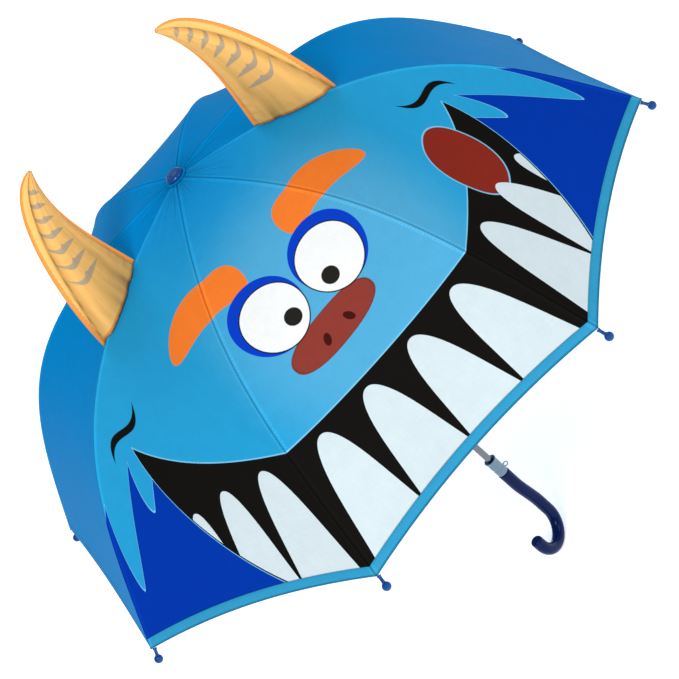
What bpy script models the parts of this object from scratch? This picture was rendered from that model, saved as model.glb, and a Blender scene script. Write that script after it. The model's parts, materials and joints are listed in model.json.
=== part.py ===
"""Children's umbrella: a curved crook handle, a steel shaft, eight hinged ribs and stretchers, and a
dome of eight cloth panels with two padded horns.  Metres, +Z up the shaft.  The origin is on the
shaft's axis at the middle of the hand grip.  The umbrella is drawn fully open."""

import math

import bmesh
import bpy
from mathutils import Vector

# ---- driving sizes -----------------------------------------------------------------------------
RIBS = 8
FIRST_RIB_ANGLE = math.radians(22.5)  # from +X, so that a panel faces -Y
GAP = 0.0003  # kept between pieces that touch
RUNNING_GAP = 0.0004  # between the runner and the shaft

GRIP_TO_COLLAR = 0.030  # origin to the collar's lower end
COLLAR_LENGTH = 0.0215
COLLAR_RADIUS = 0.0061
COLLAR_LIP_RADIUS = 0.0067
COLLAR_LIP_HEIGHT = 0.003
LOOP_RING_RADIUS = 0.0024
LOOP_WIRE_RADIUS = 0.0006
LOOP_RISE = 0.0044  # above the collar's lower end
COLLAR_TO_HEM = 0.2297

SHAFT_RADIUS = 0.0035
SHAFT_WALL = 0.00055
SHAFT_IN_HANDLE = 0.030
SHAFT_IN_CAP = 0.003

HANDLE_RADIUS = 0.0065
HANDLE_STRAIGHT = 0.018
HANDLE_LEAN = 0.0041  # how far the grip leans back from the shaft's axis
HANDLE_LEAN_LENGTH = 0.042
HANDLE_HOOK_DEPTH = 0.0737  # collar's lower end to the hook's centre
HANDLE_HOOK_RADIUS = 0.0228
HANDLE_RETURN = 0.0065
HANDLE_ANGLE = math.radians(225)  # the way the hook points, from +X

HEM_RADIUS = 0.36  # at the corners, over the ribs
DOME_HEIGHT = 0.2288  # hem corners to the crown
CROWN_RADIUS = 0.006  # hole in the panels at the crown
SHOULDER_1 = (0.2384, 0.0186)  # the dome curve's handles: radius, depth below the crown
SHOULDER_2 = (0.2739, 0.0820)
CLOTH = 0.0004
HEM_SAG = 0.011  # the hem's rise midway between two ribs
SEAM_GAP = 0.0003  # each panel's edge to the rib's plane

RIB_DEPTH = 0.0036  # rib's centreline below the cloth's outer face
RIB_WIDTH = 0.0030
RIB_HEIGHT = 0.0024
RIB_WALL = 0.0005
JOINT_Q = 0.375  # where on the dome curve the stretcher meets the rib
EYE_RADIUS = 0.0016
EYE_HALF = 0.0006
EYE_HOLE = 0.00075
EYE_STRIP = 0.011  # flat strip from the hinge's eye into the rib's channel
EYE_LEAD = 0.006  # hinge to the channel's start
FIRST_BEND = 0.012  # crown to where the rib takes the dome's curve
STRIP_HALF = 0.0010  # half the height of the flat strips
EAR_HALF = 0.0011  # half the height of the ears
KNUCKLE_RADIUS = 0.0019
KNUCKLE_HALF = 0.0004  # the outer rib's tongue
CHANNEL_STOP = 0.008  # joint to the channels' ends
EAR_START = 0.012  # joint to where the ears start
TONGUE_START = 0.013
EAR_RELIEF = 0.00002  # the ears stay this much inside the channel's faces
PLUG_LENGTH = 0.005
PLUG_HALF = 0.0009
PLUG_WIDTH = 0.0025
RIVET_RADIUS = 0.00065
RIVET_HEAD_RADIUS = 0.0013
RIVET_HEAD = 0.0005
STRETCHER_WIDTH = 0.0026
STRETCHER_HEIGHT = 0.0022
STRETCHER_WALL = 0.00045
FORK_EAR = 0.0007
FORK_LENGTH = 0.014
FORK_BASE = 0.006
FORK_HALF = 0.0012
STRETCHER_START = 0.008  # runner's ring to the stretcher's channel
STRETCHER_TIP = 0.0012
LAP = 0.0001  # how far joined parts of one piece run into each other

NOTCH_RADIUS = 0.010
NOTCH_HALF = 0.0032
NOTCH_HUB_RADIUS = 0.0056
NOTCH_HUB_LENGTH = 0.009
NOTCH_RING_RADIUS = 0.008
NOTCH_DROP = 0.0048  # crown to the hinge ring
WIRE_RADIUS = 0.00045

RUNNER_RING_RADIUS = 0.009
RUNNER_DROP = 0.1505  # notch ring down to the runner's ring, open
RUNNER_RADIUS = 0.0115
RUNNER_HALF = 0.004
RUNNER_SLEEVE_RADIUS = 0.0068
RUNNER_LENGTH = 0.030
RUNNER_RIM_RADIUS = 0.008
RUNNER_RIM = 0.003
CLOSED_RADIUS = 0.0185  # ribs' joints and tips from the axis when folded

CATCH_REACH = 0.0019  # tooth beyond the shaft
CATCH_LENGTH = 0.012
CATCH_TAIL = 0.005
CATCH_THICKNESS = 0.0016
CATCH_BACK = 0.0003
CATCH_GAP = 0.0005  # between a catch and the runner it stops

TIP_BALL_RADIUS = 0.0042
TIP_BALL_REACH = 0.0120  # hem corner to the ball's centre, along the rib
TIP_STEM_RADIUS = 0.0016
TIP_STEM_START = 0.0008
SPIGOT_RADIUS = 0.0008
SPIGOT_LENGTH = 0.008

CAP_RADIUS = 0.0093
CAP_HEIGHT = 0.0055
CAP_DOME = 0.0036  # the rounded part of its height, up to a small flat
CAP_FLAT_ANGLE = math.radians(75)
WASHER_RADIUS = 0.012
WASHER_THICKNESS = 0.0006

HORN_START_Q = 0.13  # the horn's seam on the dome curve
HORN_END_Q = 0.297
HORN_TIP = (0.0865, 0.1217)  # radius, and height above the crown
HORN_BACK_HANDLES = ((0.094, 0.033), (0.109, 0.083))
HORN_FRONT_HANDLES = ((0.162, 0.033), (0.130, 0.133))
HORN_THICKNESS = 0.018
HORN_EDGE = 0.002
HORN_CLEARANCE = 0.0006
HORN_RIBS = (5, 8)  # the second ribs to the left and right of the front panel's own two

# ---- places worked out from them ---------------------------------------------------------------
COLLAR_BOTTOM = GRIP_TO_COLLAR
COLLAR_TOP = COLLAR_BOTTOM + COLLAR_LENGTH
HEM_Z = COLLAR_TOP + COLLAR_TO_HEM
CROWN_Z = HEM_Z + DOME_HEIGHT
NOTCH_Z = CROWN_Z - NOTCH_DROP
RUNNER_Z = NOTCH_Z - RUNNER_DROP
CAP_Z = CROWN_Z + WASHER_THICKNESS + 2 * GAP
SHAFT_BOTTOM = COLLAR_BOTTOM - SHAFT_IN_HANDLE
SHAFT_TOP = CAP_Z + SHAFT_IN_CAP
SHAFT_FIT = SHAFT_RADIUS + GAP
FORK_INNER = RIB_WIDTH / 2 + GAP
FORK_OUTER = FORK_INNER + FORK_EAR
CATCH_TRAVEL = CATCH_REACH + RUNNING_GAP
DOME = (
    (CROWN_RADIUS, CROWN_Z),
    (SHOULDER_1[0], CROWN_Z - SHOULDER_1[1]),
    (SHOULDER_2[0], CROWN_Z - SHOULDER_2[1]),
    (HEM_RADIUS, HEM_Z),
)


def bezier(handles, q):
    """A point on the cubic curve through four handles."""
    a, b, c, d = (Vector(h) for h in handles)
    p = 1 - q
    return p**3 * a + 3 * p * p * q * b + 3 * p * q * q * c + q**3 * d


def dome_direction(q):
    """The dome curve's direction, running out and down."""
    a, b, c, d = (Vector(h) for h in DOME)
    p = 1 - q
    return (p * p * (b - a) + 2 * p * q * (c - b) + q * q * (d - c)).normalized()


def dome_point(q, depth=0.0):
    """A point in the rib's plane (radius, z), `depth` below the cloth's outer face."""
    way = dome_direction(q)
    return bezier(DOME, q) + depth * Vector((way.y, -way.x))


HINGE = Vector((NOTCH_RING_RADIUS, NOTCH_Z))
JOINT = dome_point(JOINT_Q, RIB_DEPTH)
RIB_END = dome_point(1.0, RIB_DEPTH)
RUNNER_PIVOT = Vector((RUNNER_RING_RADIUS, RUNNER_Z))
STRETCHER_LENGTH = (JOINT - RUNNER_PIVOT).length
FOLDED_JOINT_Z = NOTCH_Z - math.sqrt((JOINT - HINGE).length ** 2 - (CLOSED_RADIUS - HINGE.x) ** 2)
FOLDED_RUNNER_Z = FOLDED_JOINT_Z - math.sqrt(
    STRETCHER_LENGTH**2 - (CLOSED_RADIUS - RUNNER_RING_RADIUS) ** 2
)


# ---- tools ---------------------------------------------------------------------------------------
def material(name, color, roughness, metallic=0.0):
    found = bpy.data.materials.get(name)
    if found:
        return found
    made = bpy.data.materials.new(name)
    made.use_nodes = True
    shader = made.node_tree.nodes["Principled BSDF"]
    shader.inputs["Base Color"].default_value = (*color, 1.0)
    shader.inputs["Roughness"].default_value = roughness
    shader.inputs["Metallic"].default_value = metallic
    return made


def mesh_from(points, faces):
    """A mesh with its faces turned outwards."""
    shape = bmesh.new()
    corners = [shape.verts.new(p) for p in points]
    for face in faces:
        shape.faces.new([corners[i] for i in face])
    bmesh.ops.recalc_face_normals(shape, faces=shape.faces)
    mesh = bpy.data.meshes.new("shape")
    shape.to_mesh(mesh)
    shape.free()
    return mesh


def lofted(rings, closed=False):
    """A solid through equal rings of points; `closed` joins the last ring to the first."""
    count, around = len(rings), len(rings[0])
    points = [p for ring in rings for p in ring]
    faces = []
    for i in range(count if closed else count - 1):
        for j in range(around):
            a, b = i * around, (i + 1) % count * around
            k = (j + 1) % around
            faces.append((a + j, a + k, b + k, b + j))
    if not closed:
        faces.append(tuple(range(around)))
        faces.append(tuple((count - 1) * around + j for j in range(around)))
    return mesh_from(points, faces)


def turned(outline, sides, centre=(0.0, 0.0)):
    """A solid of revolution about Z from a closed outline of (radius, z)."""
    rings = []
    for i in range(sides):
        turn = math.tau * i / sides
        c, s = math.cos(turn), math.sin(turn)
        rings.append([(centre[0] + r * c, centre[1] + r * s, z) for r, z in outline])
    return lofted(rings, closed=True)


def capped_turned(outline, sides):
    """A solid of revolution about Z whose outline starts and ends on the axis."""
    points, rings = [(0.0, 0.0, outline[0][1])], outline[1:-1]
    for r, z in rings:
        for i in range(sides):
            turn = math.tau * i / sides
            points.append((r * math.cos(turn), r * math.sin(turn), z))
    points.append((0.0, 0.0, outline[-1][1]))
    faces = []
    for i in range(sides):
        j = (i + 1) % sides
        faces.append((0, 1 + i, 1 + j))
        for n in range(len(rings) - 1):
            a, b = 1 + n * sides, 1 + (n + 1) * sides
            faces.append((a + i, b + i, b + j, a + j))
        last = 1 + (len(rings) - 1) * sides
        faces.append((len(points) - 1, last + j, last + i))
    return mesh_from(points, faces)


def plate(outline, low, high):
    """An (x, z) outline extruded along Y."""
    return lofted([[(x, low, z) for x, z in outline], [(x, high, z) for x, z in outline]])


def rod(centre, radius, low, high, sides=8):
    """A round bar along Y."""
    return plate(arc(centre, radius, 0.0, math.tau * (sides - 1) / sides, sides), low, high)


def box(low, high):
    (x0, y0, z0), (x1, y1, z1) = low, high
    return plate([(x0, z0), (x1, z0), (x1, z1), (x0, z1)], y0, y1)


def arc(centre, radius, start, stop, count):
    """Points (x, z) along an arc."""
    steps = (start + (stop - start) * i / (count - 1) for i in range(count))
    return [(centre[0] + radius * math.cos(t), centre[1] + radius * math.sin(t)) for t in steps]


def link_outline(a, radius_a, b, radius_b, count=5):
    """A round-ended bar from a to b in the (x, z) plane."""
    lie = math.atan2(b[1] - a[1], b[0] - a[0])
    quarter = math.pi / 2
    return arc(b, radius_b, lie - quarter, lie + quarter, count) + arc(
        a, radius_a, lie + quarter, lie + 3 * quarter, count
    )


def channel(path, width, height, wall, opening):
    """A U section along a path in the (x, z) plane; opening +1 faces the path's left, -1 its right."""
    half, tall = width / 2, height / 2
    section = [
        (-half, opening * tall),
        (-half, -opening * tall),
        (half, -opening * tall),
        (half, opening * tall),
        (half - wall, opening * tall),
        (half - wall, -opening * (tall - wall)),
        (wall - half, -opening * (tall - wall)),
        (wall - half, opening * tall),
    ]
    rings = []
    for i, here in enumerate(path):
        before, after = path[max(i - 1, 0)], path[min(i + 1, len(path) - 1)]
        way = (Vector(after) - Vector(before)).normalized()
        rings.append([(here[0] - v * way.y, u, here[1] + v * way.x) for u, v in section])
    return lofted(rings)


def combined(base, others, operation):
    """The mesh of a Boolean between one mesh and several."""
    holder = bpy.data.objects.new("holder", base)
    bpy.context.collection.objects.link(holder)
    tools = []
    for mesh in others:
        tool = bpy.data.objects.new("tool", mesh)
        bpy.context.collection.objects.link(tool)
        step = holder.modifiers.new("step", "BOOLEAN")
        step.operation, step.solver, step.object = operation, "EXACT", tool
        tools.append(tool)
    view = bpy.context.evaluated_depsgraph_get()
    result = bpy.data.meshes.new_from_object(holder.evaluated_get(view))
    for item in [holder, *tools]:
        bpy.data.objects.remove(item)
    return result


def joined(base, *others):
    return combined(base, others, "UNION")


def cut(base, *others):
    return combined(base, others, "DIFFERENCE")


def place(name, mesh, finish, pivot=None, turn=0.0):
    """One named object whose origin is at `pivot`, (x, z) in the rib's plane, turned about Z."""
    mesh.materials.clear()
    mesh.materials.append(finish)
    mesh.shade_smooth()
    mesh.set_sharp_from_angle(angle=math.radians(35))
    item = bpy.data.objects.new(name, mesh)
    bpy.context.collection.objects.link(item)
    x, z = pivot or (0.0, 0.0)
    item.location = (x * math.cos(turn), x * math.sin(turn), z)
    item.rotation_euler = (0.0, 0.0, turn)
    return item


def shifted(mesh, pivot):
    """The mesh with its own origin moved to `pivot` in the (x, z) plane."""
    for corner in mesh.vertices:
        corner.co -= Vector((pivot[0], 0.0, pivot[1]))
    return mesh


def around_shaft(name, mesh, finish, pivot):
    """One copy of a piece on each rib's plane, all sharing one mesh."""
    shifted(mesh, pivot)
    for number in range(RIBS):
        turn = FIRST_RIB_ANGLE + math.tau * number / RIBS
        place(f"{name}_{number + 1}", mesh, finish, pivot, turn)


def toward(start, end, distance):
    """The point `distance` along the way from start to end."""
    return Vector(start) + distance * (Vector(end) - Vector(start)).normalized()


# ---- finishes --------------------------------------------------------------------------------------
CHROME = material("chrome", (0.72, 0.73, 0.75), 0.16, 1.0)
SPRING_STEEL = material("spring_steel", (0.45, 0.45, 0.47), 0.3, 1.0)
RIB_STEEL = material("rib_steel", (0.60, 0.61, 0.63), 0.28, 1.0)
BLACK_PLASTIC = material("black_plastic", (0.02, 0.02, 0.022), 0.4)
NAVY_PLASTIC = material("navy_plastic", (0.003, 0.014, 0.10), 0.15)
BLUE_PLASTIC = material("blue_plastic", (0.014, 0.08, 0.35), 0.3)
GREY_PLASTIC = material("grey_plastic", (0.20, 0.32, 0.43), 0.35)
BLUE_CLOTH = material("blue_cloth", (0.03, 0.32, 0.67), 0.6)
ORANGE_CLOTH = material("orange_cloth", (1.0, 0.48, 0.09), 0.65)


# ---- the fixed pieces ------------------------------------------------------------------------------
def catch_outline(stop_z, way):
    """A catch's (x, z) outline: its flat stop at `stop_z`, its slope running `way` from there."""
    inner = SHAFT_RADIUS - SHAFT_WALL - 1.5 * GAP
    slope_end = stop_z + way * CATCH_LENGTH
    tail = slope_end + way * CATCH_TAIL
    tooth = SHAFT_RADIUS + CATCH_REACH
    return [(CATCH_BACK, stop_z), (tooth, stop_z), (inner, slope_end), (inner, tail), (CATCH_BACK, tail)]


TOP_CATCH_Z = RUNNER_Z - RUNNER_LENGTH - CATCH_GAP
BOTTOM_CATCH_Z = FOLDED_RUNNER_Z + RUNNER_HALF + CATCH_GAP


def make_shaft():
    bore = SHAFT_RADIUS - SHAFT_WALL
    tube = turned(
        [(bore, SHAFT_BOTTOM), (SHAFT_RADIUS, SHAFT_BOTTOM), (SHAFT_RADIUS, SHAFT_TOP), (bore, SHAFT_TOP)], 24
    )
    half = CATCH_THICKNESS / 2 + GAP
    slots = []
    for stop, way in ((TOP_CATCH_Z, -1), (BOTTOM_CATCH_Z, 1)):
        ends = sorted((stop - way * GAP, stop + way * (CATCH_LENGTH + GAP)))
        slots.append(box((bore / 2, -half, ends[0]), (2 * SHAFT_RADIUS, half, ends[1])))
    place("shaft", cut(tube, *slots), CHROME)


def make_catches():
    half = CATCH_THICKNESS / 2
    for name, stop, way in (("top_catch", TOP_CATCH_Z, -1), ("bottom_catch", BOTTOM_CATCH_Z, 1)):
        mesh = plate(catch_outline(stop, way), -half, half)
        place(name, shifted(mesh, (SHAFT_RADIUS, stop)), SPRING_STEEL, (SHAFT_RADIUS, stop))


def make_crown():
    top = CAP_Z + CAP_HEIGHT
    rise = [
        (CAP_RADIUS * math.cos(t), top - CAP_DOME * (1 - math.sin(t) / math.sin(CAP_FLAT_ANGLE)))
        for t in (CAP_FLAT_ANGLE * i / 5 for i in range(6))
    ]
    dome = capped_turned([(0.0, CAP_Z), (CAP_RADIUS, CAP_Z), *rise, (0.0, top)], 24)
    bore = turned_plug(SHAFT_FIT, CAP_Z - GAP, SHAFT_TOP + GAP)
    place("crown_cap", cut(dome, bore), BLUE_PLASTIC)
    low = CROWN_Z + GAP
    high = low + WASHER_THICKNESS
    ring = [(SHAFT_FIT, low), (WASHER_RADIUS, low), (WASHER_RADIUS, high), (SHAFT_FIT, high)]
    place("crown_washer", turned(ring, 24), BLUE_CLOTH)


def turned_plug(radius, low, high, sides=24):
    """A plain round bar along Z."""
    return capped_turned([(0.0, low), (radius, low), (radius, high), (0.0, high)], sides)


def radial_slots(inner, outer, half, low, high):
    """A box on each rib's plane, cut from a ring to take the ribs' ends."""
    made = []
    for number in range(RIBS):
        turn = FIRST_RIB_ANGLE + math.tau * number / RIBS
        mesh = box((inner, -half, low), (outer, half, high))
        c, s = math.cos(turn), math.sin(turn)
        for corner in mesh.vertices:
            x, y, _ = corner.co
            corner.co.x, corner.co.y = c * x - s * y, s * x + c * y
        made.append(mesh)
    return made


def wire_ring(radius, z):
    """A closed ring of round wire about the shaft."""
    section = arc((radius, z), WIRE_RADIUS, 0.0, math.tau * 4 / 5, 5)
    return turned(section, 24)


def make_notch():
    floor, groove = NOTCH_RING_RADIUS - WIRE_RADIUS - GAP, WIRE_RADIUS + GAP
    low, high = NOTCH_Z - NOTCH_HALF, NOTCH_Z + NOTCH_HALF
    outline = [
        (SHAFT_FIT, NOTCH_Z - NOTCH_HUB_LENGTH),
        (NOTCH_HUB_RADIUS, NOTCH_Z - NOTCH_HUB_LENGTH),
        (NOTCH_HUB_RADIUS, low),
        (NOTCH_RADIUS, low),
        (NOTCH_RADIUS, NOTCH_Z - groove),
        (floor, NOTCH_Z - groove),
        (floor, NOTCH_Z + groove),
        (NOTCH_RADIUS, NOTCH_Z + groove),
        (NOTCH_RADIUS, high),
        (SHAFT_FIT, high),
    ]
    slots = radial_slots(
        NOTCH_RING_RADIUS - EYE_RADIUS - GAP, 2 * NOTCH_RADIUS, EYE_HALF + GAP, low - GAP, high + GAP
    )
    place("top_notch", cut(turned(outline, 24), *slots), BLACK_PLASTIC)
    place("notch_wire", wire_ring(NOTCH_RING_RADIUS, NOTCH_Z), SPRING_STEEL)


def make_runner():
    bore = SHAFT_RADIUS + RUNNING_GAP
    wire = RUNNER_RING_RADIUS - STRETCHER_TIP - GAP - WIRE_RADIUS
    floor, groove = wire - WIRE_RADIUS - GAP, WIRE_RADIUS + GAP
    bottom = RUNNER_Z - RUNNER_LENGTH
    low, high = RUNNER_Z - RUNNER_HALF, RUNNER_Z + RUNNER_HALF
    outline = [
        (bore, bottom),
        (RUNNER_RIM_RADIUS, bottom),
        (RUNNER_RIM_RADIUS, bottom + RUNNER_RIM),
        (RUNNER_SLEEVE_RADIUS, bottom + RUNNER_RIM),
        (RUNNER_SLEEVE_RADIUS, low),
        (RUNNER_RADIUS, low),
        (RUNNER_RADIUS, RUNNER_Z - groove),
        (floor, RUNNER_Z - groove),
        (floor, RUNNER_Z + groove),
        (RUNNER_RADIUS, RUNNER_Z + groove),
        (RUNNER_RADIUS, high),
        (bore, high),
    ]
    slot_start = RUNNER_RING_RADIUS - STRETCHER_TIP - GAP
    slots = radial_slots(
        slot_start, 2 * RUNNER_RADIUS, STRETCHER_WIDTH / 2 + GAP, low - GAP, high + GAP
    )
    key_half = CATCH_THICKNESS / 2 + RUNNING_GAP
    key_depth = SHAFT_RADIUS + CATCH_REACH + GAP
    keyway = box((bore / 2, -key_half, bottom - GAP), (key_depth, key_half, high + GAP))
    pivot = (0.0, RUNNER_Z)
    mesh = cut(turned(outline, 24), keyway, *slots)
    place("runner", shifted(mesh, pivot), BLACK_PLASTIC, pivot)
    place("runner_wire", shifted(wire_ring(wire, RUNNER_Z), pivot), SPRING_STEEL, pivot)


# ---- ribs, stretchers and tips ------------------------------------------------------------------
def dome_path(start, stop, steps):
    return [tuple(dome_point(start + (stop - start) * i / steps, RIB_DEPTH)) for i in range(steps + 1)]


def q_at_distance(start, distance):
    """The dome curve's parameter `distance` along the rib from `start`; negative runs inwards."""
    step, q, left = math.copysign(0.001, distance), start, abs(distance)
    while left > 0 and 0 <= q + step <= 1:
        left -= (dome_point(q + step, RIB_DEPTH) - dome_point(q, RIB_DEPTH)).length
        q += step
    return q


def make_inner_ribs():
    ears_from = q_at_distance(JOINT_Q, -EAR_START)
    first = q_at_distance(0.0, FIRST_BEND)
    run = dome_path(first, q_at_distance(JOINT_Q, -CHANNEL_STOP), 7)
    lead = toward(HINGE, run[0], EYE_LEAD)
    rib = channel([tuple(lead), *run], RIB_WIDTH, RIB_HEIGHT, RIB_WALL, -1)
    strip_end = toward(HINGE, run[0], EYE_STRIP)
    eye = plate(link_outline(HINGE, EYE_RADIUS, strip_end, STRIP_HALF), -EYE_HALF, EYE_HALF)
    inner = KNUCKLE_HALF + GAP
    outline = link_outline(JOINT, KNUCKLE_RADIUS, dome_point(ears_from, RIB_DEPTH), EAR_HALF)
    ears = [plate(outline, side * inner, side * (RIB_WIDTH / 2 - EAR_RELIEF)) for side in (-1, 1)]
    holes = [
        rod(HINGE, EYE_HOLE, -RIB_WIDTH, RIB_WIDTH),
        rod(JOINT, RIVET_RADIUS + GAP, -RIB_WIDTH, RIB_WIDTH),
    ]
    around_shaft("inner_rib", cut(joined(rib, eye, *ears), *holes), RIB_STEEL, HINGE)


def make_outer_ribs():
    run = dome_path(q_at_distance(JOINT_Q, CHANNEL_STOP), 1.0, 9)
    rib = channel(run, RIB_WIDTH, RIB_HEIGHT, RIB_WALL, -1)
    root = dome_point(q_at_distance(JOINT_Q, TONGUE_START), RIB_DEPTH)
    tongue = plate(link_outline(JOINT, KNUCKLE_RADIUS, root, STRIP_HALF), -KNUCKLE_HALF, KNUCKLE_HALF)
    before = dome_point(q_at_distance(1.0, -PLUG_LENGTH), RIB_DEPTH)
    plug_end = toward(RIB_END, before, PLUG_HALF + GAP)
    plug = plate(link_outline(before, PLUG_HALF, plug_end, PLUG_HALF), -PLUG_WIDTH / 2, PLUG_WIDTH / 2)
    way = dome_direction(1.0)
    spigot = plate(
        link_outline(
            toward(RIB_END, before, PLUG_LENGTH / 2), SPIGOT_RADIUS, RIB_END + way * SPIGOT_LENGTH, SPIGOT_RADIUS
        ),
        -SPIGOT_RADIUS,
        SPIGOT_RADIUS,
    )
    hole = rod(JOINT, RIVET_RADIUS + GAP, -RIB_WIDTH, RIB_WIDTH)
    around_shaft("outer_rib", cut(joined(rib, plug, spigot, tongue), hole), RIB_STEEL, JOINT)


def make_stretchers():
    base_end = toward(JOINT, RUNNER_PIVOT, FORK_LENGTH + FORK_BASE)
    base_start = toward(JOINT, RUNNER_PIVOT, FORK_LENGTH)
    bar = channel(
        [tuple(toward(RUNNER_PIVOT, JOINT, STRETCHER_START)), tuple(toward(base_end, base_start, FORK_BASE / 3))],
        STRETCHER_WIDTH,
        STRETCHER_HEIGHT,
        STRETCHER_WALL,
        1,
    )
    tip = plate(
        link_outline(RUNNER_PIVOT, STRETCHER_TIP, toward(RUNNER_PIVOT, JOINT, EYE_STRIP), STRIP_HALF),
        -STRETCHER_WIDTH / 2 + STRETCHER_WALL / 2,
        STRETCHER_WIDTH / 2 - STRETCHER_WALL / 2,
    )
    base = plate(link_outline(base_end, FORK_HALF, base_start, FORK_HALF), -FORK_OUTER, FORK_OUTER)
    outline = link_outline(JOINT, KNUCKLE_RADIUS, toward(base_start, base_end, FORK_HALF), EAR_HALF)
    ears = [plate(outline, side * FORK_INNER, side * (FORK_OUTER + LAP)) for side in (-1, 1)]
    head = FORK_OUTER + RIVET_HEAD
    rivet = rod(JOINT, RIVET_RADIUS, LAP - head, head - LAP)
    heads = [rod(JOINT, RIVET_HEAD_RADIUS, side * FORK_OUTER, side * head) for side in (-1, 1)]
    around_shaft("stretcher", joined(bar, tip, base, *ears, rivet, *heads), RIB_STEEL, JOINT)


def make_tips():
    """Moulded ball tips, turned about their own axis and then laid along the rib's end."""
    bore = SPIGOT_RADIUS * math.sqrt(2) + GAP
    socket = SPIGOT_LENGTH + SPIGOT_RADIUS + GAP
    neck = math.asin(TIP_STEM_RADIUS / TIP_BALL_RADIUS)
    ball = [
        (TIP_BALL_RADIUS * math.sin(t), TIP_BALL_REACH - TIP_BALL_RADIUS * math.cos(t))
        for t in (neck + (math.pi - neck) * i / 6 for i in range(6))
    ]
    outline = [(0.0, socket), (bore, socket), (bore, TIP_STEM_START), (TIP_STEM_RADIUS, TIP_STEM_START)]
    mesh = capped_turned([*outline, *ball, (0.0, TIP_BALL_REACH + TIP_BALL_RADIUS)], 8)
    way = dome_direction(1.0)
    for corner in mesh.vertices:
        x, y, s = corner.co
        corner.co = (RIB_END.x + s * way.x + x * way.y, y, RIB_END.y + s * way.y - x * way.x)
    around_shaft("rib_tip", mesh, BLUE_PLASTIC, JOINT)


# ---- cloth ---------------------------------------------------------------------------------------
def make_panels():
    """Eight cloth panels, ruled straight from rib to rib, with the hem drawn up between the ribs."""
    along, across = 18, 4
    half = math.pi / RIBS
    hem_speed = 3 * (Vector(DOME[3]) - Vector(DOME[2])).length
    points = []
    for i in range(along + 1):
        for j in range(across + 1):
            w = 2 * j / across - 1
            q = i / along * (1 - HEM_SAG / hem_speed * (1 - w * w))
            radius, z = bezier(DOME, q)
            side = w * (radius * math.sin(half) - SEAM_GAP / math.cos(half))
            points.append((radius * math.cos(half), side, z))
    faces = []
    for i in range(along):
        for j in range(across):
            a = i * (across + 1) + j
            faces.append((a, a + across + 1, a + across + 2, a + 1))
    mesh = bpy.data.meshes.new("panel")
    mesh.from_pydata(points, [], faces)
    for number in range(RIBS):
        turn = FIRST_RIB_ANGLE + math.tau * (number + 0.5) / RIBS
        item = place(f"canopy_panel_{number + 1}", mesh, BLUE_CLOTH, None, turn)
        skin = item.modifiers.new("cloth", "SOLIDIFY")
        skin.thickness, skin.offset, skin.use_even_offset = CLOTH, -1.0, True


def make_horns():
    """Two padded horns that stand on the seams over the ribs beside the front panel."""
    rows, columns = 10, 6
    seat = [
        dome_point(HORN_START_Q + (HORN_END_Q - HORN_START_Q) * j / columns, -HORN_CLEARANCE)
        for j in range(columns + 1)
    ]
    tip = Vector((HORN_TIP[0], CROWN_Z + HORN_TIP[1]))
    lift = Vector((0.0, CROWN_Z))
    back = [seat[0], *(Vector(h) + lift for h in HORN_BACK_HANDLES), tip]
    front = [seat[-1], *(Vector(h) + lift for h in HORN_FRONT_HANDLES), tip]
    rings = []
    for i in range(rows + 1):
        s = i / rows * 0.97
        a, b = bezier(back, s), bezier(front, s)
        line = []
        for j in range(columns + 1):
            w = j / columns
            flat = a.lerp(b, w) + (1 - s) * (seat[j] - seat[0].lerp(seat[-1], w))
            swell = HORN_EDGE / 2 + (HORN_THICKNESS - HORN_EDGE) / 2 * (1 - s * s) * math.sin(math.pi * w) ** 0.7
            line.append((flat.x, swell, flat.y))
        rings.append(line + [(x, -y, z) for x, y, z in reversed(line)])
    mesh = lofted(rings)
    pivot = tuple(HINGE)
    shifted(mesh, pivot)
    for side, rib in zip(("left", "right"), HORN_RIBS):
        turn = FIRST_RIB_ANGLE + math.tau * (rib - 1) / RIBS
        place(f"horn_{side}", mesh, ORANGE_CLOTH, pivot, turn)


# ---- collar and handle ------------------------------------------------------------------------------
def make_collar():
    lip = COLLAR_TOP - COLLAR_LIP_HEIGHT
    outline = [
        (SHAFT_FIT, COLLAR_BOTTOM),
        (COLLAR_RADIUS, COLLAR_BOTTOM),
        (COLLAR_RADIUS, lip),
        (COLLAR_LIP_RADIUS, COLLAR_TOP),
        (COLLAR_LIP_RADIUS - 0.0009, COLLAR_TOP),
        (SHAFT_FIT, lip),
    ]
    centre = (COLLAR_RADIUS + LOOP_RING_RADIUS - LOOP_WIRE_RADIUS / 2, COLLAR_BOTTOM + LOOP_RISE)
    ring = []
    for i in range(20):
        turn = math.tau * i / 20
        way = Vector((math.cos(turn), 0.0, math.sin(turn)))
        middle = Vector((centre[0], 0.0, centre[1])) + LOOP_RING_RADIUS * way
        ring.append(
            [
                middle + LOOP_WIRE_RADIUS * (math.cos(t) * way + math.sin(t) * Vector((0.0, 1.0, 0.0)))
                for t in (math.tau * k / 6 for k in range(6))
            ]
        )
    place("collar", joined(turned(outline, 24), lofted(ring, closed=True)), GREY_PLASTIC)


def handle_path():
    """(way, depth) along the crook: how far it has gone the hook's way, and how far down."""
    points = [(0.0, HANDLE_STRAIGHT * i / 2) for i in range(2)]
    for i in range(7):
        u = i / 6
        points.append((-HANDLE_LEAN * u * u * (3 - 2 * u), HANDLE_STRAIGHT + HANDLE_LEAN_LENGTH * u))
    for i in range(13):
        t = math.pi * i / 12
        points.append(
            (
                HANDLE_HOOK_RADIUS * (1 - math.cos(t)) - HANDLE_LEAN,
                HANDLE_HOOK_DEPTH + HANDLE_HOOK_RADIUS * math.sin(t),
            )
        )
    points.append((2 * HANDLE_HOOK_RADIUS - HANDLE_LEAN, HANDLE_HOOK_DEPTH - HANDLE_RETURN))
    return points


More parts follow.
